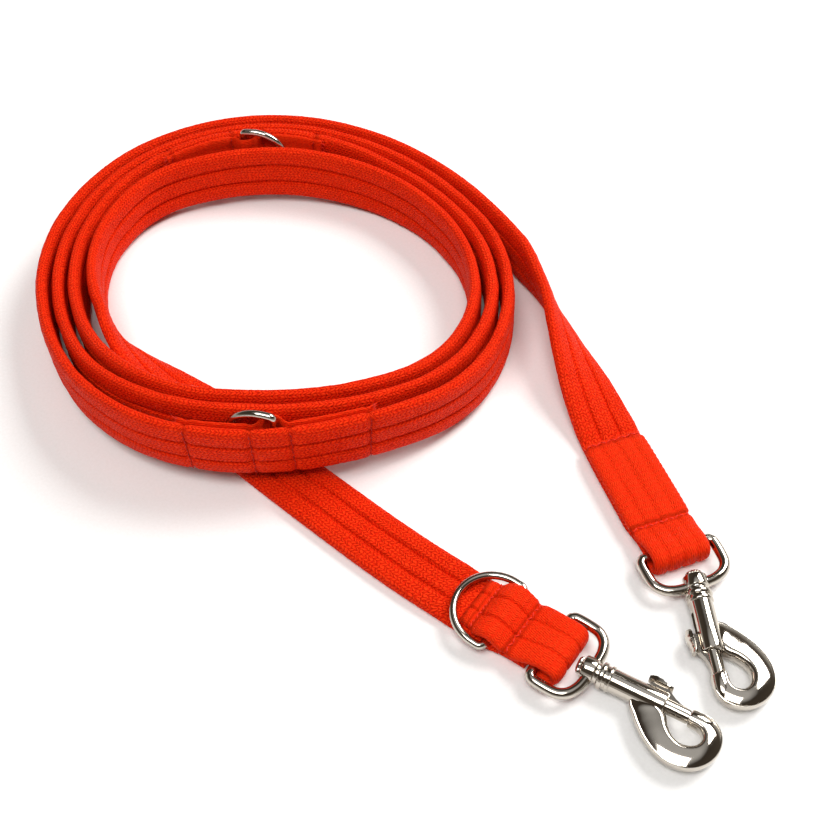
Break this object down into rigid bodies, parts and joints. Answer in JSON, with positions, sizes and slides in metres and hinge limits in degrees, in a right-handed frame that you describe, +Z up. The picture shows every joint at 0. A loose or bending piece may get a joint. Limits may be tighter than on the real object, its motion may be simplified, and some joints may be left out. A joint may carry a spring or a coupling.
{
  "type": "training leash",
  "caption": "Long padded web training leash, coiled on its edge, with a swivel bolt snap sewn in at each end and welded D-rings sewn along it",
  "frame": {"origin": "bottom centre of the overall box of the coiled leash as it lies on a level surface", "axes": "+Z up, +Y towards the back of the coil, +X to the right, with both snaps at the front right"},
  "size_m": [0.2793, 0.3294, 0.0385],
  "materials": {
    "web": "woven, ribbed, padded",
    "thread": "matte thread",
    "nickel": "polished nickel plate",
    "spring_steel": "drawn wire"
  },
  "bodies": {
    "strap": {"strap_plain_tail": "web", "strap_plain_twist": "web", "strap_coil": "web", "strap_ring_twist": "web", "strap_ring_tail": "web", "plain_end_loop": "web", "ring_end_loop": "web", "middle_ring_patch": "web", "far_ring_patch": "web", "plain_end_stitching": "thread", "ring_end_stitching": "thread", "middle_patch_stitching": "thread", "far_patch_stitching": "thread"},
    "plain_end_eye": {"plain_end_snap_eye": "nickel"},
    "plain_end_snap": {"plain_end_snap_body": "nickel", "plain_end_swivel_rivet": "nickel", "plain_end_snap_spring": "spring_steel"},
    "plain_end_bolt": {"plain_end_snap_bolt": "nickel"},
    "ring_end_eye": {"ring_end_snap_eye": "nickel"},
    "ring_end_snap": {"ring_end_snap_body": "nickel", "ring_end_swivel_rivet": "nickel", "ring_end_snap_spring": "spring_steel"},
    "ring_end_bolt": {"ring_end_snap_bolt": "nickel"},
    "middle_d_ring": {"middle_d_ring": "nickel"},
    "far_d_ring": {"far_d_ring": "nickel"},
    "end_d_ring": {"end_d_ring": "nickel"}
  },
  "joints": [
    {"name": "plain_end_eye_hinge", "type": "hinge", "parent": "strap", "child": "plain_end_eye", "pos_m": [0.11466, -0.07895, 0.0054], "axis": [0.9568, 0.2907, 0], "range_deg": [-100, 100]},
    {"name": "plain_end_swivel", "type": "hinge", "parent": "plain_end_eye", "child": "plain_end_snap", "pos_m": [0.1195, -0.0979, 0.0054], "axis": [0.0297, -0.9996, 0], "range_deg": [-140, 140]},
    {"name": "plain_end_bolt_slide", "type": "slide", "parent": "plain_end_snap", "child": "plain_end_bolt", "axis": [0.0297, -0.9996, 0], "range_m": [-0.008, 0], "stiffness_N_per_m": 400, "springref_m": 0.012, "deforming": ["plain_end_snap_spring"]},
    {"name": "ring_end_eye_hinge", "type": "hinge", "parent": "strap", "child": "ring_end_eye", "pos_m": [0.0648, -0.11588, 0.0054], "axis": [0.6211, 0.7837, 0], "range_deg": [-100, 100]},
    {"name": "ring_end_swivel", "type": "hinge", "parent": "ring_end_eye", "child": "ring_end_snap", "pos_m": [0.0804, -0.1278, 0.0054], "axis": [0.8443, -0.5358, 0], "range_deg": [-140, 140]},
    {"name": "ring_end_bolt_slide", "type": "slide", "parent": "ring_end_snap", "child": "ring_end_bolt", "axis": [0.8443, -0.5358, 0], "range_m": [-0.008, 0], "stiffness_N_per_m": 400, "springref_m": 0.012, "deforming": ["ring_end_snap_spring"]},
    {"name": "end_ring_hinge", "type": "hinge", "parent": "strap", "child": "end_d_ring", "pos_m": [0.04944, -0.10371, 0.0053], "axis": [0.6211, 0.7837, 0], "range_deg": [0, 150]},
    {"name": "middle_ring_hinge", "type": "hinge", "parent": "strap", "child": "middle_d_ring", "pos_m": [-0.03248, -0.03216, 0.02199], "axis": [0.1135, 0.003, 0.9935], "range_deg": [-1.5, 2]},
    {"name": "far_ring_hinge", "type": "hinge", "parent": "strap", "child": "far_d_ring", "pos_m": [-0.05129, 0.14625, 0.0181], "axis": [-0.1042, -0.0081, 0.9945], "range_deg": [-2, 1]}
  ]
}
